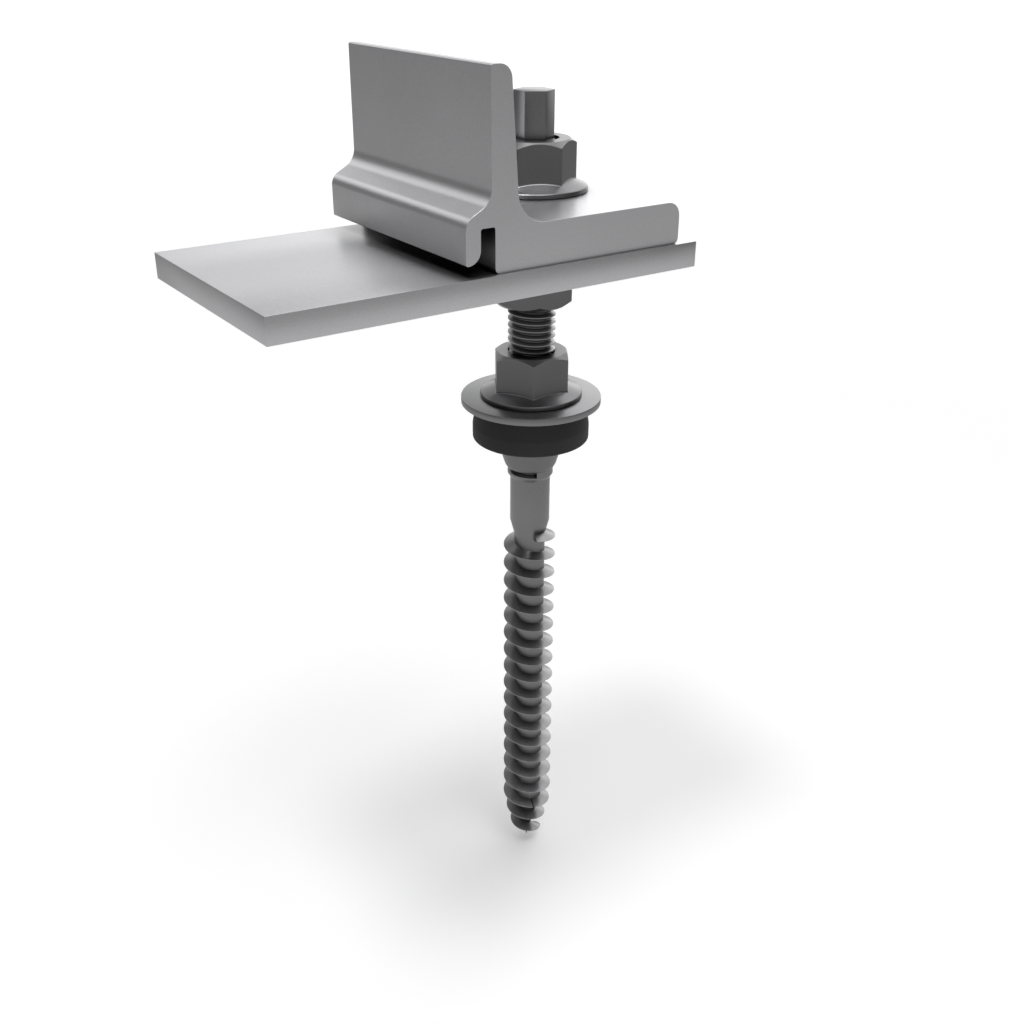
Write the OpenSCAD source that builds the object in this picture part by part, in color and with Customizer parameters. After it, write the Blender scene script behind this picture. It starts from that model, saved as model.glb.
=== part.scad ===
// Solar hanger bolt with a flat adapter plate and a hooked rail bracket.
//
// The bolt screws into a rafter through the roof covering. A rubber seal under a steel washer closes
// the hole, a tapered ring centres it, and a nut presses the seal down. Above that, a levelling nut
// carries the aluminium plate and bracket, and a third nut clamps them.
//
// Millimetres. The origin is on the bolt's axis at the underside of the seal, which is the roof
// surface. +Z runs up the bolt, +X along the plate, away from the hook.

/* [Machine thread and hex drive] */
// Nominal diameter of the machine thread
thread_d = 10; // [8:0.5:12]
// Pitch of the machine thread
thread_pitch = 1.5; // [1:0.25:2]
// Width across flats of the hex drive on top
drive_af = 7; // [5:0.5:7.5]
// Height of the hex drive above the thread
drive_h = 9.1; // [6:0.1:14]
// Turn of the hex drive about the bolt
drive_turn = 28; // [0:1:60]
// Depth of the thread's end below the top nut's upper face
thread_recess = 0.2; // [0:0.1:1]
// Free thread between the lower nut and the levelling nut
free_thread = 10.2; // [2:0.1:60]
// Machine thread left below the centring ring
thread_below_cone = 1.6; // [0.5:0.1:10]

/* [Shank and wood thread] */
// Diameter of the plain shank
shank_d = 8.8; // [8:0.1:9.5]
// Length of the bevel from the machine thread down to the shank
shank_bevel = 0.9; // [0.4:0.1:2]
// Length of the plain shank
shank_l = 10.7; // [5:0.1:40]
// Length of the cone from the shank down to the thread's core
taper_l = 3.6; // [2:0.1:8]
// Diameter of the wood thread over its crests
wood_thread_d = 11.7; // [10:0.1:13]
// Diameter of the wood thread's core
wood_core_d = 6.9; // [6:0.1:7.8]
// Pitch of the wood thread
wood_pitch = 4.67; // [4:0.01:6]
// Number of turns at the full diameter
wood_turns = 16; // [8:1:22]
// Height of the thread's start above the upper end of the core
wood_rise = 0.35; // [0.1:0.05:1.5]
// Whether the wood thread climbs to the left, as drawn in the photograph
wood_left_handed = true; // [true, false]
// Angle of each flank to a plane square to the axis
flank_angle = 20; // [15:1:24]
// Width of the flat on the crest
crest_w = 0.15; // [0.1:0.05:0.3]
// Length of the point, below the last full turn
point_l = 13.3; // [10:0.1:18]
// Diameter that the crests would reach at the very point
point_crest_d = 5.7; // [4:0.1:6.5]
// Width of the cutting slot across the flight, where the point begins
cutter_w = 0.4; // [0.2:0.1:1]
// Height of the cutting slot
cutter_h = 2.4; // [1:0.1:3]

/* [Flange nuts] */
// Width across flats
nut_af = 15; // [13:0.5:17]
// Height over the flange
nut_h = 10; // [8:0.5:13]
// Diameter of the flange
flange_d = 21.8; // [20:0.1:24]
// Thickness of the flange at its rim
rim_t = 1.1; // [0.8:0.1:1.8]
// Slope of the flange's upper face
flange_slope = 22; // [15:1:28]
// Rounding of the flange's upper edge
rim_round = 0.5; // [0.2:0.05:0.7]
// Slope of the chamfer on the nut's free end
nut_chamfer = 38; // [25:1:45]
// Distance that the chamfer reaches in past the flats
chamfer_in = 0.3; // [0.1:0.1:0.8]
// Clearance on the diameter between a nut and the thread
nut_play = 0.1; // [0.05:0.05:0.3]
// Turn of the top nut about the bolt
top_nut_turn = 33; // [0:1:60]
// Turn of the levelling nut
levelling_nut_turn = 5; // [0:1:60]
// Turn of the lower nut
lower_nut_turn = 58; // [0:1:60]

/* [Washer, seal and centring ring] */
// Diameter of the sealing washer
washer_d = 30; // [26:0.5:36]
// Thickness of the sealing washer
washer_t = 1.5; // [1:0.1:3]
// Clearance on the diameter between the washer and the thread
washer_play = 0.5; // [0.3:0.1:1]
// Diameter of the rubber seal
seal_d = 25.2; // [23:0.1:28]
// Height of the rubber seal
seal_h = 8.1; // [5:0.1:12]
// Rounding of the seal's lower edge
seal_round = 0.5; // [0.2:0.1:1.5]
// Height of the straight part of the seal's side
seal_side_h = 3.3; // [2:0.1:5]
// Taper of the seal's side above its straight part, in degrees
seal_draft = 10; // [5:1:15]
// Height of the centring ring below the seal
cone_h = 6.9; // [4:0.1:10]
// Taper of the centring ring's side, in degrees
cone_side = 17; // [10:1:25]
// Wall of the centring ring at its lower end
cone_wall = 0.1; // [0.05:0.05:0.6]
// Rounding at the lower end of the ring's side
cone_round = 2.5; // [1:0.1:3]

/* [Adapter plate] */
// Length of the plate along X
plate_l = 90.5; // [80:0.5:140]
// Width of the plate
plate_w = 49.8; // [46:0.1:60]
// Thickness of the plate
plate_t = 5; // [4:0.5:8]
// Distance from the bolt's axis to the plate's end away from the hook
plate_end = 20.8; // [18:0.1:40]
// Sideways shift of the plate under the bracket, within its clearance hole
plate_shift = -0.9; // [-0.9:0.1:0.9]
// Clearance on the diameter between the plate's hole and the thread
plate_play = 2.2; // [2:0.1:3]

/* [Rail bracket] */
// Length of the extrusion along Y
bracket_w = 50; // [46:0.1:60]
// Distance from the bolt's axis to the end of the foot
foot_end = 16.6; // [14:0.1:30]
// Distance from the bolt's axis to the slot's inner wall
foot_front = 25.7; // [22:0.1:40]
// Thickness of the foot
foot_t = 8; // [6:0.1:10]
// Rounding of the foot's upper end edge
foot_round = 2.8; // [1:0.1:3.2]
// Rounding of the foot's lower end edge
foot_edge = 1.05; // [0.3:0.05:1.5]
// Clearance on the diameter between the foot's hole and the thread
foot_play = 1; // [0.5:0.1:2]
// Width of the slot behind the hook's lip
slot_w = 3; // [2:0.1:4]
// Height of the slot's roof above the plate
slot_h = 8.3; // [7.8:0.1:9]
// Rounding of the slot's roof corners
slot_round = 0.4; // [0.2:0.1:0.8]
// Thickness of the hook's lip
lip_t = 3.05; // [3.02:0.01:4]
// Height of the lip's lower end above the plate
lip_gap = 2.15; // [1:0.05:4]
// Rounding of the lip's inner lower corner
lip_round = 2.6; // [1.5:0.1:2.8]
// Rounding of the lip's outer lower corner
lip_edge = 0.4; // [0.2:0.1:0.4]
// Rounding of the hook's outer shoulder
shoulder_round = 2.5; // [1:0.1:3]
// Height of the shoulder's rounding above the slot's roof
shoulder_rise = 0; // [0:0.05:1]
// Slope of the hook's back, in degrees
shoulder_slope = 28.5; // [25:0.5:40]
// Radius of the hollow between the hook and the blade
hollow_r = 3.6; // [3:0.1:4.5]
// Distance that the blade's face stands in front of the slot's inner wall
blade_step = 0.7; // [0.5:0.1:1]
// Height of the blade above the plate
blade_h = 34.8; // [30:0.1:50]
// Thickness of the blade at its top
blade_top_t = 4; // [3.2:0.1:5]
// Thickness of the blade at its root
blade_root_t = 5.9; // [5:0.1:7]
// Rounding of the blade's upper rear edge
blade_round = 2.45; // [1.5:0.05:2.7]
// Rounding of the blade's upper front edge
blade_edge = 0.4; // [0.2:0.1:0.6]
// Radius of the fillet between the blade and the foot
root_round = 5.8; // [2:0.1:7]

/* [Hidden] */

// Smoothness of turned parts, and segments of each rounded corner
$fn = 64;
corner_steps = 7;
// Depth of a metric external thread as a share of its pitch
depth_per_pitch = 0.613;
// Segments of one turn of the wood thread, where the thread starts, and how far its root is sunk
thread_segments = 24;
thread_start_angle = -108;
root_sink = 0.3;
// Part of the last turn over which the flight dies away, and how much of the point it leaves bare
fade_turns = 0.45;
bare_point = 0.8;
// Overshoot of cutting bodies
eps = 0.1;

// Heights of the stack, upwards from the roof surface
washer_z = seal_h;
lower_nut_z = washer_z + washer_t;
levelling_nut_z = lower_nut_z + nut_h + free_thread;
plate_z = levelling_nut_z + nut_h;
bracket_z = plate_z + plate_t;
top_nut_z = bracket_z + foot_t;
thread_top_z = top_nut_z + nut_h - thread_recess;

// Heights of the bolt below the roof surface
thread_r = thread_d / 2;
thread_minor_r = thread_r - depth_per_pitch * thread_pitch;
shank_r = shank_d / 2;
core_r = wood_core_d / 2;
thread_end_z = -cone_h - thread_below_cone;
shank_top_z = thread_end_z - shank_bevel;
taper_z = shank_top_z - shank_l;
core_z = taper_z - taper_l;
flight_z = core_z + wood_rise;
point_z = flight_z - wood_turns * wood_pitch;
tip_z = point_z - point_l;

// One round stretch of an outline, about centre c, from angle a to angle b
function arc(c, r, a, b) =
    [for (i = [0 : corner_steps]) let (t = a + (b - a) * i / corner_steps) c + r * [cos(t), sin(t)]];

// Radius of the bolt's core at height z, which ends in a sharp cone
function core_at(z) = z > point_z ? core_r : core_r * (z - tip_z) / point_l;

// Radius of the wood thread's crest after t turns
function crest_at(t) =
    let (below = max(0, t - wood_turns) * wood_pitch / point_l)
    wood_thread_d / 2 * (1 - below) + point_crest_d / 2 * below;

// Turns of the whole flight, and the part of its height that is left after t turns
flight_turns = wood_turns + (point_l - bare_point) / wood_pitch;
function fade(t) = min(1, (flight_turns - t) / fade_turns);

// Section of the flight after t turns: two root points and two crest points
function flight_section(t) =
    let (
        z = flight_z - t * wood_pitch,
        turn = thread_start_angle + (wood_left_handed ? 360 : -360) * t,
        root = max(core_at(z) - root_sink, core_at(z) / 2),
        crest = root + (crest_at(t) - root) * max(fade(t), 0.1),
        half = crest_w / 2,
        spread = half + (crest - root) * tan(flank_angle)
    )
    [for (p = [[root, spread], [crest, half], [crest, -half], [root, -spread]])
        [p.x * cos(turn), p.x * sin(turn), z + p.y]];

// Screw flight of the wood thread as one swept body
module wood_flight() {
    steps = floor(flight_turns * thread_segments);
    points = [for (i = [0 : steps]) each flight_section(i / thread_segments)];
    sides = [for (i = [0 : steps - 1]) for (k = [0 : 3])
        let (a = 4 * i + k, b = 4 * i + (k + 1) % 4)
        each [[a, b + 4, b], [a, a + 4, b + 4]]];
    ends = [[0, 1, 2, 3], [for (k = [3 : -1 : 0]) 4 * steps + k]];
    faces = concat(sides, ends);
    polyhedron(points, wood_left_handed ? faces : [for (f = faces) [for (k = [len(f) - 1 : -1 : 0]) f[k]]]);
}

// Bolt, turned from one bar: hex drive, machine thread, shank, taper, core and screw point
module hanger_bolt() {
    end_chamfer = thread_r - thread_minor_r;
    color("#6e7073") {
        translate([0, 0, thread_top_z - end_chamfer])
            rotate(drive_turn)
                cylinder(d = drive_af / cos(30), h = drive_h + end_chamfer, $fn = 6);
        rotate_extrude()
            polygon([
                [0, tip_z], [core_r, point_z], [core_r, core_z], [shank_r, taper_z],
                [shank_r, shank_top_z], [thread_r, thread_end_z], [thread_r, thread_top_z - end_chamfer],
                [thread_minor_r, thread_top_z], [0, thread_top_z]
            ]);
        difference() {
            wood_flight();
            rotate(thread_start_angle)
                translate([core_r, -cutter_w / 2, point_z - cutter_h / 2])
                    cube([wood_thread_d / 2, cutter_w, cutter_h]);
        }
    }
}

// Hexagon flange nut with its bearing face at z = 0, chamfered at the free end
module flange_nut() {
    flange_r = flange_d / 2;
    bore_r = (thread_d + nut_play) / 2;
    corner_r = nut_af / 2 / cos(30);
    face_r = nut_af / 2 - chamfer_in;
    rim_arc = arc([flange_r - rim_round, rim_t - rim_round], rim_round, 0, 90 - flange_slope);
    slope_foot = rim_arc[corner_steps];
    apex_h = slope_foot.y + slope_foot.x * tan(flange_slope);
    difference() {
        union() {
            intersection() {
                cylinder(r = corner_r, h = nut_h, $fn = 6);
                rotate_extrude()
                    polygon([
                        [0, 0], [corner_r + eps, 0],
                        [corner_r + eps, nut_h - (corner_r + eps - face_r) * tan(nut_chamfer)],
                        [face_r, nut_h], [0, nut_h]
                    ]);
            }
            rotate_extrude()
                polygon(concat([[0, 0], [flange_r, 0]], rim_arc, [[0, apex_h]]));
        }
        translate([0, 0, -eps])
            cylinder(r = bore_r, h = nut_h + 2 * eps);
    }
}

// Nut that clamps the bracket and the plate
module top_flange_nut() {
    color("#6e7073")
        translate([0, 0, top_nut_z])
            rotate(top_nut_turn)
                flange_nut();
}

// Nut that carries the plate, with its flange upwards
module levelling_nut() {
    color("#6e7073")
        translate([0, 0, levelling_nut_z + nut_h])
            rotate([180, 0, levelling_nut_turn])
                flange_nut();
}

// Nut that presses the washer and the seal onto the roof
module lower_flange_nut() {
    color("#6e7073")
        translate([0, 0, lower_nut_z])
            rotate(lower_nut_turn)
                flange_nut();
}

// Flat steel washer over the seal
module sealing_washer() {
    color("#8c8e90")
        translate([0, 0, washer_z])
            difference() {
                cylinder(d = washer_d, h = washer_t);
                translate([0, 0, -eps])
                    cylinder(d = thread_d + washer_play, h = washer_t + 2 * eps);
            }
}

// Rubber seal, which grips the thread and rests on the roof
module rubber_seal() {
    seal_r = seal_d / 2;
    color("#2d2d2e")
        rotate_extrude()
            polygon(concat(
                [[thread_r, 0]],
                arc([seal_r - seal_round, seal_round], seal_round, -90, 0),
                [[seal_r, seal_side_h], [seal_r - (seal_h - seal_side_h) * tan(seal_draft), seal_h]],
                [[thread_r, seal_h]]
            ));
}

// Tapered ring under the seal, which centres the bolt in the hole of the roof covering
module centring_cone() {
    round_end = [thread_r + cone_wall, -cone_h];
    round_centre = round_end - cone_round * [cos(45), -sin(45)];
    rounding = arc(round_centre, cone_round, -45, -cone_side);
    round_top = rounding[corner_steps];
    color("#6e7073")
        rotate_extrude()
            polygon(concat(
                [[thread_r, 0], [thread_r, -cone_h]],
                rounding,
                [[round_top.x - round_top.y * tan(cone_side), 0]]
            ));
}

// Flat aluminium plate that carries the bracket
module adapter_plate() {
    color("#cfd0d1")
        translate([0, 0, plate_z])
            difference() {
                translate([plate_end - plate_l, plate_shift - plate_w / 2, 0])
                    cube([plate_l, plate_w, plate_t]);
                translate([0, plate_shift, -eps])
                    cylinder(d = thread_d + plate_play, h = plate_t + 2 * eps);
            }
}

// Outline of the bracket, seen along Y, with the plate's top face at y = 0
module bracket_outline() {
    slot_in = -foot_front;
    slot_out = slot_in - slot_w;
    lip_out = slot_out - lip_t;
    blade_face = slot_in - blade_step;
    blade_back = blade_face + blade_root_t;
    blade_lean = atan((blade_root_t - blade_top_t) / (blade_h - foot_t));

    // Hollow in front of the blade, and the sloping back of the hook that runs into it
    bend = 90 - shoulder_slope;
    shoulder = [lip_out + shoulder_round, slot_h + shoulder_rise];
    slope_foot = shoulder + shoulder_round * [-cos(bend), sin(bend)];
    hollow_x = blade_face - hollow_r;
    slope_head_x = hollow_x + hollow_r * cos(bend);
    slope_head_z = slope_foot.y + (slope_head_x - slope_foot.x) * tan(shoulder_slope);
    hollow = [hollow_x, slope_head_z + hollow_r * sin(bend)];

    // Fillet between the leaning back of the blade and the foot
    root_z = foot_t + root_round;
    root_x = blade_back + root_round / cos(blade_lean) - root_round * tan(blade_lean);
    top_x = blade_face + blade_top_t - blade_round;

    polygon(concat(
        [[slot_in + foot_edge, 0], [foot_end - foot_edge, 0]],
        arc([foot_end - foot_edge, foot_edge], foot_edge, -90, 0),
        arc([foot_end - foot_round, foot_t - foot_round], foot_round, 0, 90),
        arc([root_x, root_z], root_round, 270, 180 - blade_lean),
        arc([top_x, blade_h - blade_round], blade_round, blade_lean, 90),
        arc([blade_face + blade_edge, blade_h - blade_edge], blade_edge, 90, 180),
        arc(hollow, hollow_r, 0, -bend),
        arc(shoulder, shoulder_round, 180 - bend, 180),
        arc([lip_out + lip_edge, lip_gap + lip_edge], lip_edge, 180, 270),
        arc([slot_out - lip_round, lip_gap + lip_round], lip_round, -90, 0),
        arc([slot_out + slot_round, slot_h - slot_round], slot_round, 180, 90),
        arc([slot_in - slot_round, slot_h - slot_round], slot_round, 90, 0),
        arc([slot_in + foot_edge, foot_edge], foot_edge, 180, 270)
    ));
}

// Hooked L-shaped aluminium extrusion, drilled for the bolt
module rail_bracket() {
    color("#c4c5c7")
        translate([0, 0, bracket_z])
            difference() {
                translate([0, bracket_w / 2, 0])
                    rotate([90, 0, 0])
                        linear_extrude(bracket_w)
                            bracket_outline();
                translate([0, 0, -eps])
                    cylinder(d = thread_d + foot_play, h = foot_t + 2 * eps);
            }
}

hanger_bolt();
top_flange_nut();
levelling_nut();
lower_flange_nut();
sealing_washer();
rubber_seal();
centring_cone();
adapter_plate();
rail_bracket();
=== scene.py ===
# Roof hanger bolt with its nuts, rubber seal, adapter plate and hooked rail bracket.
#
# Metres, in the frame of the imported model: the origin is on the bolt's axis at the roof surface, +Z runs
# up the bolt and +X runs along the plate, away from the hook.

from math import copysign, cos, pi, radians, sin, tan

import bmesh
import bpy
from mathutils import Matrix, Vector


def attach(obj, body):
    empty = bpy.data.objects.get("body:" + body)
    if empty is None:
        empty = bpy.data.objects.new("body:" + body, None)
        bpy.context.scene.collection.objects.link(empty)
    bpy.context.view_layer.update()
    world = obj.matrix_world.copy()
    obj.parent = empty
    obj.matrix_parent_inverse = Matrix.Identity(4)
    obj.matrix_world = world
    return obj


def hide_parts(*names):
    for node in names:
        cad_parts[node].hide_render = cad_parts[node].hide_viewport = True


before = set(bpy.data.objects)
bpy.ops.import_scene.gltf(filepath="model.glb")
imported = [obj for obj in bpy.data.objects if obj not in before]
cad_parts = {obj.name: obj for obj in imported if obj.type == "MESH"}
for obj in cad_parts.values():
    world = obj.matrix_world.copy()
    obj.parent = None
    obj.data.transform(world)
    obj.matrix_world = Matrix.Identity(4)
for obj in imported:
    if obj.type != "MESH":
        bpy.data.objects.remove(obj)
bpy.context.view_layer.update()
MM = 0.001


# Photo stand: white paper under the screw's tip, a small soft box above on the left, a photo tent round it
# and the camera of the photo. In the metal the paper shows as a grey pool that darkens further out.

floor_z = -111.6 * MM
floor_half = 6.0
floor_white = 0.9
floor_glow = 0.18
lamp_fall = 0.27
lamp_fall_near = 0.2
lamp_fall_far = 1.2
pool_near = 0.15
pool_far = 1.0
pool_end = 2.2
pool_gone = 4.4
pool_grey = 0.57
pool_dark = 0.29
sky_side = 0.06
sky_top = 0.5
sky_side_rise = 0.4
glows = [
    (63, 13, 2, 40, 22, 0.95), (20, 22, 1, 40, 20, 0.9), (48, 2, 5, 32, 18, 1.3), (20, 60, 1, 42, 12, 0.9),
    (107, 27, 1, 16, 5, 1.2), (122, 3, 2, 32, 14, 0.17), (-105, 4, 3, 75, 30, 0.3), (-90, 68, 1, 16, 8, 5)
]
lamp_place = Vector((-188, -34, 626)) * MM
lamp_width = 130 * MM
lamp_power = 1.45

bm = bmesh.new()
bmesh.ops.create_grid(bm, x_segments=1, y_segments=1, size=floor_half)
bmesh.ops.translate(bm, verts=bm.verts, vec=(0, 0, floor_z))
floor_mesh = bpy.data.meshes.new("floor")
bm.to_mesh(floor_mesh)
bm.free()
floor = bpy.data.objects.new("floor", floor_mesh)
bpy.context.scene.collection.objects.link(floor)

# The camera sees white paper, whose own glow makes up for the lamp's fall further out. Every other ray
# sees the pool, which gives way to the tent beyond it.
paper = bpy.data.materials.new("white_paper")
paper.use_nodes = True
tree = paper.node_tree
tree.nodes.clear()
ray = tree.nodes.new("ShaderNodeLightPath")
spot = tree.nodes.new("ShaderNodeTexCoord")
reach = tree.nodes.new("ShaderNodeVectorMath")
reach.operation = "LENGTH"
fill = tree.nodes.new("ShaderNodeMapRange")
fill.inputs["From Min"].default_value = lamp_fall_near
fill.inputs["From Max"].default_value = lamp_fall_far
fill.inputs["To Min"].default_value = floor_glow
fill.inputs["To Max"].default_value = lamp_fall + floor_glow
glow = tree.nodes.new("ShaderNodeEmission")
seen = tree.nodes.new("ShaderNodeBsdfDiffuse")
seen.inputs["Color"].default_value = (floor_white, floor_white, floor_white, 1)
lit = tree.nodes.new("ShaderNodeAddShader")
pool = tree.nodes.new("ShaderNodeMapRange")
pool.inputs["From Min"].default_value = pool_near
pool.inputs["From Max"].default_value = pool_far
pool.inputs["To Min"].default_value = pool_grey
pool.inputs["To Max"].default_value = pool_dark
mirrored = tree.nodes.new("ShaderNodeEmission")
beyond = tree.nodes.new("ShaderNodeBsdfTransparent")
edge = tree.nodes.new("ShaderNodeMapRange")
edge.inputs["From Min"].default_value = pool_end
edge.inputs["From Max"].default_value = pool_gone
merge = tree.nodes.new("ShaderNodeMixShader")
pick = tree.nodes.new("ShaderNodeMixShader")
out = tree.nodes.new("ShaderNodeOutputMaterial")
tree.links.new(spot.outputs["Object"], reach.inputs[0])
tree.links.new(reach.outputs["Value"], fill.inputs["Value"])
tree.links.new(reach.outputs["Value"], pool.inputs["Value"])
tree.links.new(fill.outputs["Result"], glow.inputs["Strength"])
tree.links.new(seen.outputs["BSDF"], lit.inputs[0])
tree.links.new(glow.outputs["Emission"], lit.inputs[1])
tree.links.new(pool.outputs["Result"], mirrored.inputs["Strength"])
tree.links.new(ray.outputs["Is Camera Ray"], pick.inputs["Fac"])
tree.links.new(reach.outputs["Value"], edge.inputs["Value"])
tree.links.new(edge.outputs["Result"], merge.inputs["Fac"])
tree.links.new(mirrored.outputs["Emission"], merge.inputs[1])
tree.links.new(beyond.outputs["BSDF"], merge.inputs[2])
tree.links.new(merge.outputs["Shader"], pick.inputs[1])
tree.links.new(lit.outputs["Shader"], pick.inputs[2])
tree.links.new(pick.outputs["Shader"], out.inputs["Surface"])
floor.data.materials.append(paper)

# The tent is dim at the sides and brighter overhead, with glowing patches: azimuth and height of each, how
# much it is flattened, the angles where it starts and where it is full, and its strength
sky = bpy.data.worlds.new("photo_tent")
sky.use_nodes = True
tree = sky.node_tree
tree.nodes.clear()
where = tree.nodes.new("ShaderNodeTexCoord")
split = tree.nodes.new("ShaderNodeSeparateXYZ")
rise = tree.nodes.new("ShaderNodeMapRange")
rise.inputs["From Min"].default_value = sky_side_rise
rise.inputs["To Min"].default_value = sky_side
rise.inputs["To Max"].default_value = sky_top
tree.links.new(where.outputs["Generated"], split.inputs["Vector"])
tree.links.new(split.outputs["Z"], rise.inputs["Value"])
level = rise.outputs["Result"]
for azimuth, height, flat, outer, inner, strength in glows:
    toward = Vector((cos(radians(azimuth)), sin(radians(azimuth)), flat * tan(radians(height)))).normalized()
    squash = tree.nodes.new("ShaderNodeVectorMath")
    squash.operation = "MULTIPLY"
    squash.inputs[1].default_value = (1, 1, flat)
    unit = tree.nodes.new("ShaderNodeVectorMath")
    unit.operation = "NORMALIZE"
    facing = tree.nodes.new("ShaderNodeVectorMath")
    facing.operation = "DOT_PRODUCT"
    facing.inputs[1].default_value = toward
    fade = tree.nodes.new("ShaderNodeMapRange")
    fade.interpolation_type = "SMOOTHSTEP"
    fade.inputs["From Min"].default_value = cos(radians(outer))
    fade.inputs["From Max"].default_value = cos(radians(inner))
    fade.inputs["To Max"].default_value = strength
    total = tree.nodes.new("ShaderNodeMath")
    tree.links.new(where.outputs["Generated"], squash.inputs[0])
    tree.links.new(squash.outputs["Vector"], unit.inputs[0])
    tree.links.new(unit.outputs["Vector"], facing.inputs[0])
    tree.links.new(facing.outputs["Value"], fade.inputs["Value"])
    tree.links.new(level, total.inputs[0])
    tree.links.new(fade.outputs["Result"], total.inputs[1])
    level = total.outputs["Value"]
glow = tree.nodes.new("ShaderNodeBackground")
out = tree.nodes.new("ShaderNodeOutputWorld")
tree.links.new(level, glow.inputs["Strength"])
tree.links.new(glow.outputs["Background"], out.inputs["Surface"])
bpy.context.scene.world = sky

lamp_data = bpy.data.lights.new("soft_box", "AREA")
lamp_data.shape = "DISK"
lamp_data.size = lamp_width
lamp_data.energy = lamp_power
lamp = bpy.data.objects.new("soft_box", lamp_data)
lamp.location = lamp_place
lamp.rotation_euler = lamp_place.to_track_quat("Z", "Y").to_euler()
bpy.context.scene.collection.objects.link(lamp)

camera_place = Vector((-140.05, -196.25, 99.20)) * MM
camera_yaw = 0.6033
camera_pitch = -0.4547
camera_roll = 0.0034
sensor_width = 36
pixels_across = 1024
focal_pixels = 1192.13

ahead = Vector((sin(camera_yaw) * cos(camera_pitch), cos(camera_yaw) * cos(camera_pitch), sin(camera_pitch)))
across = Vector((cos(camera_yaw), -sin(camera_yaw), 0))
upright = across.cross(ahead)
right = cos(camera_roll) * across + sin(camera_roll) * upright
up = cos(camera_roll) * upright - sin(camera_roll) * across
camera_data = bpy.data.cameras.new("camera")
camera_data.sensor_width = sensor_width
camera_data.lens = focal_pixels * sensor_width / pixels_across
camera_data.clip_start = 10 * MM
camera_data.clip_end = 50
camera = bpy.data.objects.new("camera", camera_data)
turn = Matrix((right, up, -ahead)).transposed().to_4x4()
camera.matrix_world = Matrix.Translation(camera_place) @ turn
bpy.context.scene.collection.objects.link(camera)
bpy.context.scene.camera = camera
bpy.context.scene.view_settings.view_transform = "Standard"


# Hanger bolt: one bar of stainless steel, with a 7 mm hex drive, a rolled M10 thread, a plain shank, a
# taper and a rolled wood thread that dies away on a sharp point. It screws into the rafter.

steps = 64
start_angle = radians(-108)

thread_r = 5.0 * MM
thread_pitch = 1.5 * MM
thread_depth = 0.92 * MM
thread_land = 0.19 * MM
root_hollow = 0.04 * MM
groove_start_z = -7.56 * MM
thread_end_z = -8.5 * MM
thread_top_z = 62.6 * MM
thread_chamfer = 0.92 * MM

shank_r = 4.4 * MM
shank_top_z = -9.4 * MM
taper_z = -20.1 * MM
core_z = -23.7 * MM
core_r = 3.45 * MM
crest_r = 5.85 * MM
crest_half = 0.075 * MM
wood_pitch = 4.67 * MM
flight_z = -23.35 * MM
full_turns = 16
flank = radians(20)
point_z = flight_z - full_turns * wood_pitch
point_l = 13.3 * MM
tip_z = point_z - point_l
point_crest_r = 2.85 * MM
bare_tip = 0.8 * MM
flight_turns = full_turns + (point_l - bare_tip) / wood_pitch
fade_turns = 0.45
cutter_half = 0.2 * MM
cutter_reach = 1.2 * MM
cutter_margin = 2 * MM

drive_r = 3.5 * MM / cos(radians(30))
drive_top_z = 71.7 * MM
drive_turn = radians(28)
drive_edge = 0.12 * MM

weld = 0.002 * MM
hair = 0.0001 * MM


def grow(bm, edges, place):
    """Extrudes a loop of edges, puts each new point where place says, and returns the new loop."""
    new = bmesh.ops.extrude_edge_only(bm, edges=edges)["geom"]
    for v in (g for g in new if isinstance(g, bmesh.types.BMVert)):
        place(v)
    return [g for g in new if isinstance(g, bmesh.types.BMEdge) and g.is_boundary]


def rim(bm, low, high):
    """The open edges of a mesh between two heights."""
    return [e for e in bm.edges if e.is_boundary and all(low <= v.co.z <= high for v in e.verts)]


def ring_at(r, z):
    """Puts a point at a radius and a height, where it is around the axis."""
    def place(v):
        set_radius(v, r)
        v.co.z = z
    return place


def set_radius(v, r):
    """Moves a point in or out from the axis."""
    v.co.xy *= r / v.co.xy.length


def body_radius(z):
    """Radius of the bare bar below the shank: taper, core and point."""
    if z > point_z:
        return core_r + (shank_r - core_r) * max(0, z - core_z) / (taper_z - core_z)
    return max(core_r * (z - tip_z) / point_l, hair)


def wind(bm, line, pitch, turns):
    """Sweeps a line once round the axis, as a left-handed screw, and repeats that turn pitch by pitch."""
    old = set(bm.verts[:] + bm.edges[:] + bm.faces[:]) - set(line)
    bmesh.ops.spin(bm, geom=line, cent=(0, 0, 0), axis=(0, 0, 1), dvec=(0, 0, pitch / steps),
                   angle=copysign(2 * pi, -pitch), steps=steps)
    turn = [g for g in bm.verts[:] + bm.edges[:] + bm.faces[:] if g not in old]
    for k in range(1, turns):
        copy = bmesh.ops.duplicate(bm, geom=turn)["geom"]
        bmesh.ops.translate(bm, verts=[g for g in copy if isinstance(g, bmesh.types.BMVert)],
                            vec=(0, 0, k * pitch))
    bmesh.ops.remove_doubles(bm, verts=bm.verts, dist=weld)


def start_line(bm, points):
    """An open line through points of radius and height, in the plane where both threads start."""
    verts = [bm.verts.new((r * cos(start_angle), r * sin(start_angle), z)) for r, z in points]
    return verts, [bm.edges.new(pair) for pair in zip(verts, verts[1:])]


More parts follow.
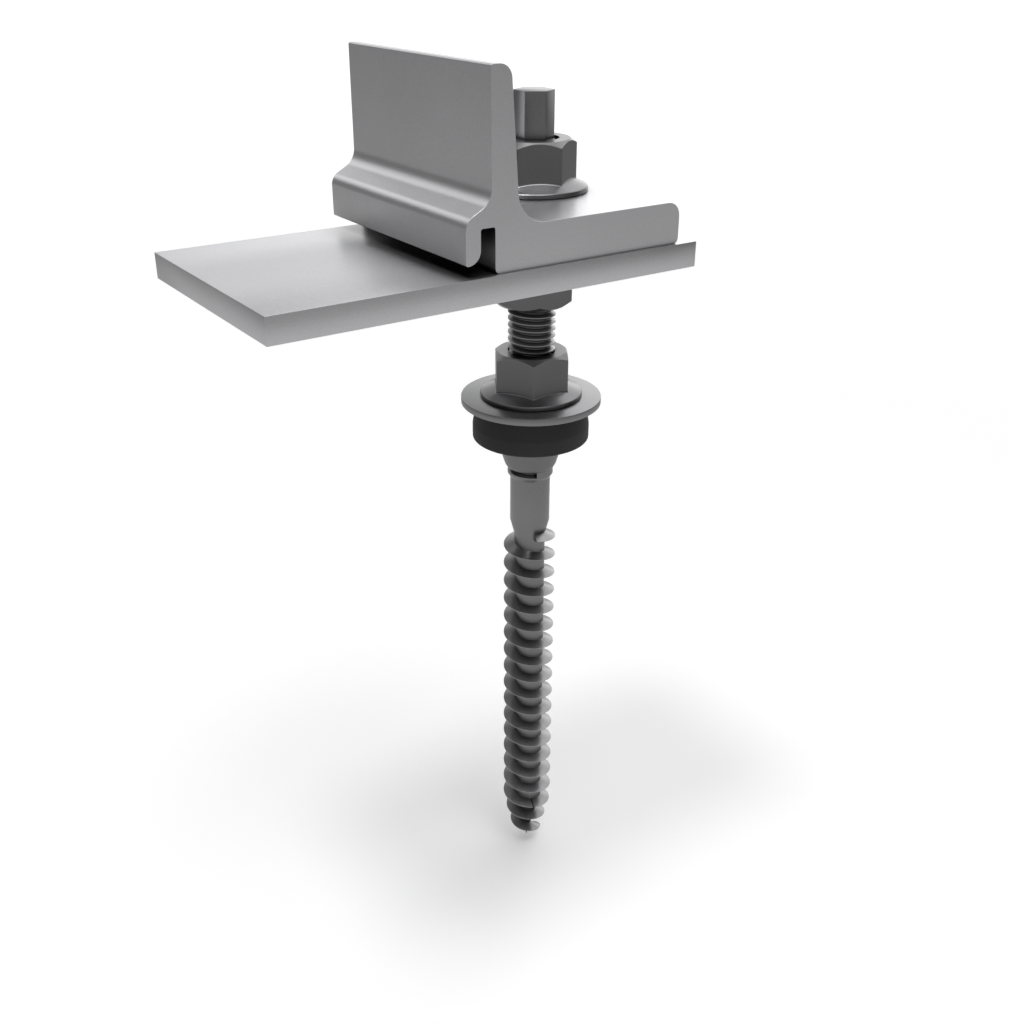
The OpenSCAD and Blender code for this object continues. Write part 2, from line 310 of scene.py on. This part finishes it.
# The wood thread is wound down and to the left from its square start, then drawn in to the point
bm = bmesh.new()
raised = bm.verts.layers.float.new("raised")
offset = bm.verts.layers.float.new("offset")
spread = crest_half + (crest_r - core_r) * tan(flank)
flight = [(0, spread), (1, crest_half), (1, -crest_half), (0, -spread), (0, spread)]
heights = [flight_z + h for _, h in flight[:4]] + [flight_z + spread - wood_pitch]
radii = [core_r + part * (crest_r - core_r) for part, _ in flight]
verts, edges = start_line(bm, zip(radii, heights))
for v, (part, height) in zip(verts, flight):
    v[raised] = part
    v[offset] = height
start_face = [v.co.copy() for v in verts[:4]]
wind(bm, verts + edges, -wood_pitch, full_turns + 3)
bm.verts.ensure_lookup_table()
bm.faces.new([min(bm.verts, key=lambda v: (v.co - co).length) for co in start_face])
for v in bm.verts:
    turns = (flight_z + v[offset] - v.co.z) / wood_pitch
    left = min(1, max(0, (flight_turns - turns) / fade_turns))
    crest = crest_r + (point_crest_r - crest_r) * max(0, turns - full_turns) * wood_pitch / point_l
    v.co.z = max(tip_z, flight_z - turns * wood_pitch + v[offset] * left)
    body = body_radius(v.co.z)
    set_radius(v, body + v[raised] * left * (crest - body))
bmesh.ops.remove_doubles(bm, verts=bm.verts, dist=weld)


# Core, taper and shank, grown up from the thread's open upper end
def on_core(v):
    v.co.z = max(v.co.z, core_z)
    set_radius(v, body_radius(v.co.z))


loop = grow(bm, rim(bm, core_z - 2 * wood_pitch, 0), on_core)
for r, z in ((shank_r, taper_z), (shank_r, shank_top_z), (thread_r, thread_end_z)):
    loop = grow(bm, loop, ring_at(r, z))

# The machine thread is wound up and to the left too, as in the photo, and its lower groove ends square
depth_z = thread_depth * tan(radians(30))
mouth = thread_pitch - thread_land
groove_z = groove_start_z - mouth / 2
groove = [(0, 0), (thread_depth, depth_z), (thread_depth + root_hollow, mouth / 2),
          (thread_depth, mouth - depth_z), (0, mouth), (0, thread_pitch)]
verts, edges = start_line(bm, [(thread_r - depth, groove_z + height) for depth, height in groove])
end_face = [v.co.copy() for v in verts[:5]]
wind(bm, verts + edges, thread_pitch, 1 + round((thread_top_z - groove_z) / thread_pitch))
bm.faces.new([min(bm.verts, key=lambda v: (v.co - co).length) for co in end_face])
grow(bm, rim(bm, groove_z - hair, groove_z + thread_pitch + hair), ring_at(thread_r, thread_end_z))
for height, cut in ((thread_top_z - thread_chamfer, False), (thread_top_z, True)):
    bmesh.ops.bisect_plane(bm, geom=bm.verts[:] + bm.edges[:] + bm.faces[:], plane_co=(0, 0, height),
                           plane_no=(0, 0, 1), clear_outer=cut, dist=hair)
for v in bm.verts:
    limit = thread_r - (v.co.z - thread_top_z + thread_chamfer)
    if v.co.z > thread_top_z - thread_chamfer and v.co.xy.length > limit:
        set_radius(v, limit)
bmesh.ops.remove_doubles(bm, verts=bm.verts, dist=weld)

# Cutting slot across the wood thread, where the point begins
outward = Vector((cos(start_angle), sin(start_angle), 0))
across = Vector((0, 0, 1)).cross(outward)


def near_cut(face, reach):
    """Whether a face of the thread lies within reach of the cutting slot's middle."""
    middle = face.calc_center_median()
    return (abs(middle.z - point_z) < cutter_reach and middle.dot(outward) > core_r + cutter_half
            and abs(middle.dot(across)) < reach)


for side in (-cutter_half, cutter_half):
    faces = [f for f in bm.faces if near_cut(f, cutter_margin)]
    around = list({v for f in faces for v in f.verts}) + list({e for f in faces for e in f.edges})
    bmesh.ops.bisect_plane(bm, geom=around + faces, plane_co=side * across, plane_no=across, dist=hair)
cut = [f for f in bm.faces if near_cut(f, cutter_half)]
deep = bmesh.ops.extrude_face_region(bm, geom=cut)["geom"]
bmesh.ops.delete(bm, geom=cut, context="FACES")
for v in (g for g in deep if isinstance(g, bmesh.types.BMVert)):
    set_radius(v, core_r + hair)
bmesh.ops.remove_doubles(bm, verts=bm.verts, dist=weld)

# Hex drive, standing on the thread's flat top
top_loop = rim(bm, thread_top_z - hair, thread_top_z + hair)
on_thread = Matrix.Translation((0, 0, thread_top_z)) @ Matrix.Rotation(drive_turn + pi / 2, 4, "Z")
hexagon = bmesh.ops.create_circle(bm, segments=6, radius=drive_r, matrix=on_thread)
loop = list({e for v in hexagon["verts"] for e in v.link_edges})
bmesh.ops.triangle_fill(bm, edges=top_loop + loop, use_beauty=True)
loop = grow(bm, loop, lambda v: setattr(v.co, "z", drive_top_z))
lid = bmesh.ops.contextual_create(bm, geom=loop)["faces"]
corners = {e for v in lid[0].verts for e in v.link_edges}
bmesh.ops.bevel(bm, geom=list(corners), offset=drive_edge, segments=2, profile=0.5, affect="EDGES",
                material=-1)

# Painted shade's tone as a share of the metal's, how open a face is where the painted shade is full, and the
# speckle's strength and the range of noise that it spreads over
shade_tone = 0.12
shade_full = 0.1
fleck = 0.03
noise_low = 0.35
noise_high = 0.65
blue_tint = 1.02


def shader_group(name, inputs, outputs):
    """An empty shader node group with named number inputs and outputs."""
    group = bpy.data.node_groups.new(name, "ShaderNodeTree")
    for label, value in inputs:
        socket = group.interface.new_socket(name=label, in_out="INPUT", socket_type="NodeSocketFloat")
        socket.default_value = value
    for label in outputs:
        group.interface.new_socket(name=label, in_out="OUTPUT", socket_type="NodeSocketFloat")
    return group, group.nodes.new("NodeGroupInput"), group.nodes.new("NodeGroupOutput")


# Grain of a metal face: fine speckle over a slow cloud, in the piece's own coordinates
metal_grain, given, result = shader_group("metal_grain", (("Speckle", 3000), ("Cloud", 60)),
                                          ("Fine", "Slow"))
place = metal_grain.nodes.new("ShaderNodeTexCoord")
for label, detail, output in (("Speckle", 2, "Fine"), ("Cloud", 4, "Slow")):
    noise = metal_grain.nodes.new("ShaderNodeTexNoise")
    noise.inputs["Detail"].default_value = detail
    metal_grain.links.new(place.outputs["Object"], noise.inputs["Vector"])
    metal_grain.links.new(given.outputs[label], noise.inputs["Scale"])
    metal_grain.links.new(noise.outputs["Fac"], result.inputs[output])

# Painted highlight on edges: 1 where the surface bends within the given width, and 0 on open faces; the
# metal's colour is lightened there to stand in for a bright edge line
edge_highlight, given, result = shader_group("edge_highlight", (("Width", 0.0002), ("Gain", 6)), ("Edge",))
rounded = edge_highlight.nodes.new("ShaderNodeBevel")
rounded.samples = 4
true_face = edge_highlight.nodes.new("ShaderNodeNewGeometry")
agree = edge_highlight.nodes.new("ShaderNodeVectorMath")
agree.operation = "DOT_PRODUCT"
differ = edge_highlight.nodes.new("ShaderNodeMath")
differ.operation = "SUBTRACT"
differ.inputs[0].default_value = 1
scaled = edge_highlight.nodes.new("ShaderNodeMath")
scaled.operation = "MULTIPLY"
scaled.use_clamp = True
edge_highlight.links.new(given.outputs["Width"], rounded.inputs["Radius"])
edge_highlight.links.new(rounded.outputs["Normal"], agree.inputs[0])
edge_highlight.links.new(true_face.outputs["Normal"], agree.inputs[1])
edge_highlight.links.new(agree.outputs["Value"], differ.inputs[1])
edge_highlight.links.new(differ.outputs["Value"], scaled.inputs[0])
edge_highlight.links.new(given.outputs["Gain"], scaled.inputs[1])
edge_highlight.links.new(scaled.outputs["Value"], result.inputs["Edge"])

# Painted shade in grooves and where pieces meet, from how sheltered the surface is: 1 deep inside and 0 on
# open faces
corner_shade, given, result = shader_group("corner_shade", (("Reach", 0.004), ("Start", 0.75)), ("Shade",))
shelter = corner_shade.nodes.new("ShaderNodeAmbientOcclusion")
shelter.samples = 8
filled = corner_shade.nodes.new("ShaderNodeMapRange")
filled.inputs["From Max"].default_value = shade_full
corner_shade.links.new(given.outputs["Reach"], shelter.inputs["Distance"])
corner_shade.links.new(shelter.outputs["AO"], filled.inputs["Value"])
corner_shade.links.new(given.outputs["Start"], filled.inputs["From Min"])
corner_shade.links.new(filled.outputs["Result"], result.inputs["Shade"])


def metal(name, dark, light, smooth, rough, speckle, cloud, bump, highlight_tone, reach=4, open_from=0.75):
    """A bare metal: tone and roughness vary with its grain, with a painted highlight on its edges and
    painted shade in its corners.
    """
    material = bpy.data.materials.new(name)
    material.use_nodes = True
    tree = material.node_tree
    shader = tree.nodes["Principled BSDF"]
    shader.inputs["Metallic"].default_value = 1
    grain = tree.nodes.new("ShaderNodeGroup")
    grain.node_tree = metal_grain
    grain.inputs["Speckle"].default_value = speckle
    grain.inputs["Cloud"].default_value = cloud
    edge = tree.nodes.new("ShaderNodeGroup")
    edge.node_tree = edge_highlight
    tone = tree.nodes.new("ShaderNodeMix")
    tone.data_type = "RGBA"
    tone.inputs["A"].default_value = (dark, dark, dark * blue_tint, 1)
    tone.inputs["B"].default_value = (light, light, light * blue_tint, 1)
    tree.links.new(grain.outputs["Slow"], tone.inputs["Factor"])
    spots = tree.nodes.new("ShaderNodeMapRange")
    spots.inputs["From Min"].default_value = noise_low
    spots.inputs["From Max"].default_value = noise_high
    spots.inputs["To Min"].default_value = 1 - fleck
    spots.inputs["To Max"].default_value = 1 + fleck
    tree.links.new(grain.outputs["Fine"], spots.inputs["Value"])
    flecked = tree.nodes.new("ShaderNodeMix")
    flecked.data_type = "RGBA"
    flecked.blend_type = "MULTIPLY"
    flecked.inputs["Factor"].default_value = 1
    tree.links.new(tone.outputs["Result"], flecked.inputs["A"])
    tree.links.new(spots.outputs["Result"], flecked.inputs["B"])
    # Painted highlight: the colour turns lighter where the surface bends at an edge
    highlighted = tree.nodes.new("ShaderNodeMix")
    highlighted.data_type = "RGBA"
    highlighted.inputs["B"].default_value = (highlight_tone, highlight_tone, highlight_tone, 1)
    tree.links.new(edge.outputs["Edge"], highlighted.inputs["Factor"])
    tree.links.new(flecked.outputs["Result"], highlighted.inputs["A"])
    # Painted shade: the colour turns darker where the surface is sheltered by nearby geometry
    shade_node = tree.nodes.new("ShaderNodeGroup")
    shade_node.node_tree = corner_shade
    shade_node.inputs["Reach"].default_value = reach * MM
    shade_node.inputs["Start"].default_value = open_from
    shaded = tree.nodes.new("ShaderNodeMix")
    shaded.data_type = "RGBA"
    shaded.inputs["B"].default_value = (dark * shade_tone, dark * shade_tone, dark * shade_tone, 1)
    tree.links.new(shade_node.outputs["Shade"], shaded.inputs["Factor"])
    tree.links.new(highlighted.outputs["Result"], shaded.inputs["A"])
    tree.links.new(shaded.outputs["Result"], shader.inputs["Base Color"])
    gloss = tree.nodes.new("ShaderNodeMapRange")
    gloss.inputs["To Min"].default_value = smooth
    gloss.inputs["To Max"].default_value = rough
    tree.links.new(grain.outputs["Fine"], gloss.inputs["Value"])
    tree.links.new(gloss.outputs["Result"], shader.inputs["Roughness"])
    relief = tree.nodes.new("ShaderNodeBump")
    relief.inputs["Strength"].default_value = 1
    relief.inputs["Distance"].default_value = bump * MM
    tree.links.new(grain.outputs["Fine"], relief.inputs["Height"])
    tree.links.new(relief.outputs["Normal"], shader.inputs["Normal"])
    return material


def finish(bm, name, node, material, smooth_to=24):
    """Makes the piece from its mesh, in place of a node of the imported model, and fixes it to the part."""
    bmesh.ops.recalc_face_normals(bm, faces=bm.faces)
    mesh = bpy.data.meshes.new(name)
    bm.to_mesh(mesh)
    bm.free()
    mesh.shade_smooth()
    mesh.set_sharp_from_angle(angle=radians(smooth_to))
    mesh.materials.append(material)
    piece = bpy.data.objects.new(name, mesh)
    bpy.context.scene.collection.objects.link(piece)
    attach(piece, "root")
    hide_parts(node)


bolt_steel = metal("bolt_steel", dark=0.24, light=0.33, smooth=0.24, rough=0.36, speckle=4000, cloud=90,
                   bump=0.004, highlight_tone=0.5)
finish(bm, "bolt", "hanger_bolt", bolt_steel)


# Centring ring: a short tapered steel ring under the seal, turned, which centres the bolt in the hole of
# the roof covering. It is pushed up against the seal.

cone_h = 6.9 * MM
cone_side = radians(17)
cone_wall = 0.1 * MM
cone_skirt = 0.44 * MM
cone_round = 2.4 * MM
cone_base_r = thread_r + cone_wall + cone_skirt + (cone_h - cone_skirt) * tan(cone_side)


def rounded_face(bm, corners, segments=6):
    """A flat face through corners of radius or x, height and rounding, with its corners rounded off."""
    verts = [bm.verts.new((x, 0, z)) for x, z, _ in corners]
    face = bm.faces.new(verts)
    for v, (_, _, rounding) in zip(verts, corners):
        if rounding:
            ways = [(e.other_vert(v).co - v.co).normalized() for e in v.link_edges]
            half_bend = (pi - ways[0].angle(ways[1])) / 2
            bmesh.ops.bevel(bm, geom=[v], offset=rounding * tan(half_bend), segments=segments, profile=0.5,
                            affect="VERTICES", material=-1)
    return bm.faces[:]


def turned(corners, segments=6):
    """A closed ring or disc, turned about the axis from an outline with rounded corners."""
    bm = bmesh.new()
    faces = rounded_face(bm, corners, segments)
    bmesh.ops.delete(bm, geom=faces, context="FACES_ONLY")
    bmesh.ops.spin(bm, geom=bm.verts[:] + bm.edges[:], cent=(0, 0, 0), axis=(0, 0, 1), angle=2 * pi,
                   steps=2 * steps, use_merge=True)
    bmesh.ops.remove_doubles(bm, verts=bm.verts, dist=weld)
    return bm


bm = turned([(thread_r, 0, 0), (thread_r, -cone_h, 0), (thread_r + cone_wall, -cone_h, 0),
             (thread_r + cone_wall + cone_skirt, -cone_h + cone_skirt, cone_round), (cone_base_r, 0, 0)])
ring_steel = metal("ring_steel", dark=0.2, light=0.26, smooth=0.28, rough=0.4, speckle=4000, cloud=120,
                   bump=0.004, highlight_tone=0.5)
finish(bm, "centring_ring", "centring_cone", ring_steel)


# Rubber seal: a thick ring of black rubber, moulded, which grips the thread. The washer presses it down on
# the roof covering.

seal_r = 12.6 * MM
seal_h = 8.1 * MM
seal_round = 0.5 * MM
seal_side_h = 3.3 * MM
seal_bend = 1.5 * MM
seal_draft = radians(10)
seal_top_r = seal_r - (seal_h - seal_side_h) * tan(seal_draft)

bm = turned([(thread_r, 0, 0), (seal_r, 0, seal_round), (seal_r, seal_side_h, seal_bend),
             (seal_top_r, seal_h, 0), (thread_r, seal_h, 0)])

rubber = bpy.data.materials.new("seal_rubber")
rubber.use_nodes = True
tree = rubber.node_tree
shader = tree.nodes["Principled BSDF"]
shader.inputs["Specular IOR Level"].default_value = 0.3
grain = tree.nodes.new("ShaderNodeGroup")
grain.node_tree = metal_grain
grain.inputs["Speckle"].default_value = 2600
grain.inputs["Cloud"].default_value = 120
tone = tree.nodes.new("ShaderNodeMix")
tone.data_type = "RGBA"
tone.inputs["A"].default_value = (0.038, 0.038, 0.039, 1)
tone.inputs["B"].default_value = (0.053, 0.053, 0.054, 1)
gloss = tree.nodes.new("ShaderNodeMapRange")
gloss.inputs["To Min"].default_value = 0.5
gloss.inputs["To Max"].default_value = 0.75
relief = tree.nodes.new("ShaderNodeBump")
relief.inputs["Strength"].default_value = 0.3
relief.inputs["Distance"].default_value = 0.03 * MM
tree.links.new(grain.outputs["Slow"], tone.inputs["Factor"])
tree.links.new(tone.outputs["Result"], shader.inputs["Base Color"])
tree.links.new(grain.outputs["Fine"], gloss.inputs["Value"])
tree.links.new(gloss.outputs["Result"], shader.inputs["Roughness"])
tree.links.new(grain.outputs["Fine"], relief.inputs["Height"])
tree.links.new(relief.outputs["Normal"], shader.inputs["Normal"])
finish(bm, "seal", "rubber_seal", rubber)


# Sealing washer: a flat stainless disc, stamped, with faintly broken edges. It spreads the lower nut's
# force over the seal.

washer_r = 15 * MM
washer_t = 1.5 * MM
washer_hole_r = 5.25 * MM
washer_edge = 0.12 * MM
washer_z = seal_h

bm = turned([(washer_hole_r, washer_z, 0), (washer_r, washer_z, washer_edge),
             (washer_r, washer_z + washer_t, washer_edge), (washer_hole_r, washer_z + washer_t, 0)],
            segments=2)
washer_steel = metal("washer_steel", dark=0.28, light=0.34, smooth=0.3, rough=0.42, speckle=3200, cloud=80,
                     bump=0.006, highlight_tone=0.55)
finish(bm, "washer", "sealing_washer", washer_steel)


# Flange nuts: three forged M10 nuts, 15 mm across flats, with a wide sloping flange. The lower one presses
# the washer down, the middle one carries the plate with its flange up, and the top one clamps the bracket.

nut_af = 15 * MM
nut_h = 10 * MM
nut_bore_r = 5.05 * MM
nut_corner_round = 0.14 * MM
nut_face_r = 7.2 * MM
nut_chamfer = radians(38)
flange_r = 10.9 * MM
flange_rim = 1.1 * MM
flange_slope = radians(22)
flange_round = 0.5 * MM
flange_foot = 0.15 * MM
rim_steps = 6
bead = 0.32 * MM
bead_steps = 4
flat_cuts = 11

free_thread = 10.2 * MM
plate_t = 5 * MM
foot_t = 8 * MM
lower_nut_z = washer_z + washer_t
levelling_nut_z = lower_nut_z + nut_h + free_thread
plate_z = levelling_nut_z + nut_h
bracket_z = plate_z + plate_t
top_nut_z = bracket_z + foot_t

nut_steel = metal("nut_steel", dark=0.19, light=0.24, smooth=0.27, rough=0.35, speckle=4000, cloud=70,
                  bump=0.003, highlight_tone=0.32)
rim_centre = flange_r - flange_round
slope_foot_r = rim_centre + flange_round * sin(flange_slope)
slope_foot_z = flange_rim - flange_round + flange_round * cos(flange_slope)


def slope_z(r):
    """Height of the flange's sloping face at a radius."""
    return slope_foot_z + (slope_foot_r - r) * tan(flange_slope)


def flange_nut(name, node, placing):
    """A nut, drawn ring by ring from the top face out, down its flats, over the flange and up the hole."""
    bm = bmesh.new()
    reach = bm.verts.layers.float.new("reach")
    hexagon = bmesh.ops.create_circle(bm, cap_ends=True, segments=6, radius=nut_af / 2 / cos(radians(30)),
                                      matrix=Matrix.Rotation(pi / 2, 4, "Z"))
    bmesh.ops.bevel(bm, geom=hexagon["verts"], offset=nut_corner_round, segments=3, profile=0.5,
                    affect="VERTICES", material=-1)
    flats = [e for e in bm.edges if e.calc_length() > nut_af / 4]
    bmesh.ops.subdivide_edges(bm, edges=flats, cuts=flat_cuts)
    bmesh.ops.delete(bm, geom=bm.faces[:], context="FACES_ONLY")
    for v in bm.verts:
        v[reach] = v.co.xy.length
    corners = ((nut_face_r, nut_h), (nut_bore_r, nut_h), (nut_bore_r, 0), (flange_r - flange_foot, 0),
               (flange_r, flange_foot))
    profile = [lambda r, at=at: at for at in corners]
    for k in range(rim_steps + 1):
        slant = flange_slope + (pi / 2 - flange_slope) * (1 - k / rim_steps)
        at = (rim_centre + flange_round * sin(slant), flange_rim - flange_round + flange_round * cos(slant))
        profile.append(lambda r, at=at: at)
    for k in range(bead_steps + 1):
        out = bead * (1 - sin(pi / 2 * k / bead_steps))
        rise = bead * (1 - cos(pi / 2 * k / bead_steps))
        profile.append(lambda r, out=out, rise=rise: (r + out, slope_z(r + out) + rise))
    for v in bm.verts:
        v.co.z = nut_h - (v[reach] - nut_face_r) * tan(nut_chamfer)
    first = loop = bm.edges[:]
    for ring in profile:
        def place(v, ring=ring):
            r, z = ring(v[reach])
            set_radius(v, r)
            v.co.z = z
        loop = [e for e in grow(bm, loop, place) if e not in first]
    bmesh.ops.bridge_loops(bm, edges=first + loop)
    bmesh.ops.transform(bm, matrix=placing, verts=bm.verts)
    finish(bm, name, node, nut_steel)


def stand(z, degrees_round):
    """Where a nut sits: its height and its turn about the bolt."""
    return Matrix.Translation((0, 0, z)) @ Matrix.Rotation(radians(degrees_round), 4, "Z")


upside_down = Matrix.Rotation(pi, 4, "X")
flange_nut("lower_nut", "lower_flange_nut", stand(lower_nut_z, 58))
flange_nut("middle_nut", "levelling_nut", stand(levelling_nut_z + nut_h, 5) @ upside_down)
flange_nut("top_nut", "top_flange_nut", stand(top_nut_z, 33))


# Adapter plate: a piece of 50 x 5 mm aluminium flat bar in mill finish, sawn to length and drilled for
# the bolt. It stands on the levelling nut's flange.

plate_l = 90.5 * MM
plate_w = 49.8 * MM
plate_end = 20.8 * MM
plate_shift = -0.9 * MM
plate_hole_r = 6.1 * MM
plate_edge = 0.15 * MM
drill_margin = 1 * MM


def drill(bm, centre_y, r, low, high):
    """Drills a hole down through a slab: its square of face gives way to a ring, joined down the wall."""
    half = r + drill_margin
    for axis, middle in (((1, 0, 0), 0), ((0, 1, 0), centre_y)):
        for side in (-half, half):
            bmesh.ops.bisect_plane(bm, geom=bm.verts[:] + bm.edges[:] + bm.faces[:], dist=hair,
                                   plane_co=Vector(axis) * (middle + side), plane_no=axis)

    def to_wall(v):
        spoke = Vector((v.co.x, v.co.y - centre_y)).normalized() * r
        v.co.xy = spoke.x, spoke.y + centre_y

    for z in (low, high):
        middles = [(f, f.calc_center_median() - Vector((0, centre_y, z))) for f in bm.faces]
        square = [f for f, m in middles if abs(m.z) < hair and abs(m.x) < half and abs(m.y) < half]
        bmesh.ops.delete(bm, geom=square, context="FACES_ONLY")
        bmesh.ops.subdivide_edges(bm, edges=rim(bm, z - hair, z + hair), cuts=steps // 4 - 1)
        loop = grow(bm, rim(bm, z - hair, z + hair), to_wall)
    grow(bm, loop, lambda v: setattr(v.co, "z", low))
    bmesh.ops.remove_doubles(bm, verts=bm.verts, dist=weld)


bm = bmesh.new()
bmesh.ops.create_cube(bm, size=1)
bmesh.ops.scale(bm, vec=(plate_l, plate_w, plate_t), verts=bm.verts)
bmesh.ops.translate(bm, vec=(plate_end - plate_l / 2, plate_shift, plate_z + plate_t / 2), verts=bm.verts)
bmesh.ops.bevel(bm, geom=bm.edges[:], offset=plate_edge, segments=2, profile=0.5, affect="EDGES",
                material=-1)
drill(bm, plate_shift, plate_hole_r, plate_z, bracket_z)
# reach and open_from spread the painted shade about 10 mm out from the hook and the nut
plate_aluminium = metal("plate_aluminium", dark=0.71, light=0.81, smooth=0.28, rough=0.4, speckle=2600,
                        cloud=40, bump=0.02, highlight_tone=0.85, reach=10, open_from=0.9)
finish(bm, "plate", "adapter_plate", plate_aluminium)


# Rail bracket: a 50 mm length of hooked L-shaped aluminium extrusion, sawn off and drilled for the bolt.
# Its hook grips the rail's foot, and the blade stands against the rail's wall.

bracket_w = 50 * MM
foot_end = 16.6 * MM
foot_front = -25.7 * MM
slot_w = 3 * MM
slot_h = 8.3 * MM
lip_t = 3.05 * MM
lip_gap = 2.15 * MM
hook_shoulder = 9.79 * MM
hollow_z = 12.69 * MM
blade_face = -26.4 * MM
blade_h = 34.8 * MM
blade_top_t = 4 * MM
blade_root_t = 5.9 * MM
bracket_hole_r = 5.5 * MM
saw_edge = 0.03 * MM
foot_round = 1.05 * MM
foot_end_round = 2.8 * MM
root_round = 5.8 * MM
blade_round = 2.45 * MM
hollow_round = 3.6 * MM
shoulder_round = 2.5 * MM
lip_round = 2.6 * MM
small_round = 0.4 * MM

slot_out = foot_front - slot_w
outline = [
    (foot_front, 0, foot_round), (foot_end, 0, foot_round), (foot_end, foot_t, foot_end_round),
    (blade_face + blade_root_t, foot_t, root_round), (blade_face + blade_top_t, blade_h, blade_round),
    (blade_face, blade_h, small_round), (blade_face, hollow_z, hollow_round),
    (slot_out - lip_t, hook_shoulder, shoulder_round), (slot_out - lip_t, lip_gap, small_round),
    (slot_out, lip_gap, lip_round), (slot_out, slot_h, small_round), (foot_front, slot_h, small_round)
]
bm = bmesh.new()
rounded_face(bm, [(x, z + bracket_z, rounding) for x, z, rounding in outline], segments=10)
bmesh.ops.translate(bm, verts=bm.verts, vec=(0, -bracket_w / 2, 0))
sawn = bmesh.ops.extrude_face_region(bm, geom=bm.faces[:], use_keep_orig=True)["geom"]
bmesh.ops.translate(bm, verts=[g for g in sawn if isinstance(g, bmesh.types.BMVert)], vec=(0, bracket_w, 0))
bmesh.ops.recalc_face_normals(bm, faces=bm.faces)
ends = [e for e in bm.edges if abs(abs(e.verts[0].co.y) - bracket_w / 2) < hair
        and abs(e.verts[0].co.y - e.verts[1].co.y) < hair]
bmesh.ops.bevel(bm, geom=ends, offset=saw_edge, segments=1, profile=0.5, affect="EDGES", material=-1)
drill(bm, 0, bracket_hole_r, bracket_z, top_nut_z)
# reach and open_from spread the painted shade about 10 mm out into the slot and the hollow
bracket_aluminium = metal("bracket_aluminium", dark=0.71, light=0.81, smooth=0.28, rough=0.4, speckle=2600,
                          cloud=40, bump=0.016, highlight_tone=0.85, reach=10, open_from=0.9)
finish(bm, "bracket", "rail_bracket", bracket_aluminium)
